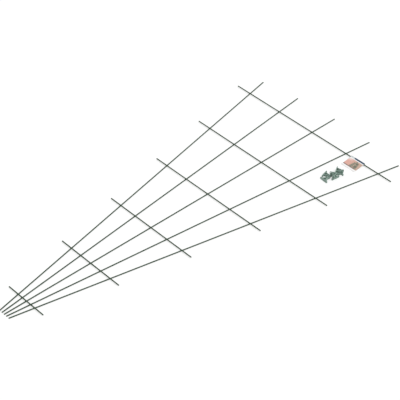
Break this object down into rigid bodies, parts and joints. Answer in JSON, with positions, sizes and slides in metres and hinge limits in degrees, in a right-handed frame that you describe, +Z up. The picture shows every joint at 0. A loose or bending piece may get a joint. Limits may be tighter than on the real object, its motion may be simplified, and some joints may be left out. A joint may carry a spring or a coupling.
{
  "type": "espalier frame",
  "caption": "Fan-shaped wire espalier frame: uprights spread from a narrow foot, crossed by welded bars, with a folded card tag and loose snap-in wall brackets.",
  "frame": {"origin": "under the middle of the centre upright, on the floor that the frame lies on", "axes": "+X across the fan towards the side with the tag, +Y from the foot to the wide end, +Z up"},
  "size_m": [0.8946, 1.8003, 0.022],
  "materials": {
    "coated_wire": "satin",
    "weld": "satin",
    "card": "matte",
    "bracket_plastic": "matte"
  },
  "bodies": {
    "frame": {"upright_outer_left": "coated_wire", "upright_inner_left": "coated_wire", "upright_centre": "coated_wire", "upright_inner_right": "coated_wire", "upright_outer_right": "coated_wire", "cross_bar_1": "coated_wire", "cross_bar_2": "coated_wire", "cross_bar_3": "coated_wire", "cross_bar_4": "coated_wire", "cross_bar_5": "coated_wire", "cross_bar_6": "coated_wire", "welds_bar_1": "weld", "welds_bar_2": "weld", "welds_bar_3": "weld", "welds_bar_4": "weld", "welds_bar_5": "weld", "welds_bar_6": "weld"},
    "tag": {"tag_card": "card"},
    "bracket_1": {"wall_bracket_1": "bracket_plastic"},
    "bracket_2": {"wall_bracket_2": "bracket_plastic"},
    "bracket_3": {"wall_bracket_3": "bracket_plastic"},
    "bracket_4": {"wall_bracket_4": "bracket_plastic"},
    "bracket_5": {"wall_bracket_5": "bracket_plastic"},
    "bracket_6": {"wall_bracket_6": "bracket_plastic"}
  },
  "joints": [
    {"name": "tag_swing", "type": "hinge", "parent": "frame", "child": "tag", "pos_m": [0.26374, 0.752, 0.0067], "axis": [-1, 0, 0], "range_deg": [0, 168]},
    {"name": "bracket_1_lift", "type": "slide", "parent": "frame", "child": "bracket_1", "axis": [0, 0, 1], "range_m": [0, 0.15]},
    {"name": "bracket_2_lift", "type": "slide", "parent": "frame", "child": "bracket_2", "axis": [0, 0, 1], "range_m": [0, 0.15]},
    {"name": "bracket_3_lift", "type": "slide", "parent": "frame", "child": "bracket_3", "axis": [0, 0, 1], "range_m": [0, 0.15]},
    {"name": "bracket_4_lift", "type": "slide", "parent": "frame", "child": "bracket_4", "axis": [0, 0, 1], "range_m": [0, 0.15]},
    {"name": "bracket_5_lift", "type": "slide", "parent": "bracket_3", "child": "bracket_5", "axis": [0, 0, 1], "range_m": [0, 0.15]},
    {"name": "bracket_6_lift", "type": "slide", "parent": "bracket_4", "child": "bracket_6", "axis": [0, 0, 1], "range_m": [0, 0.15]}
  ]
}
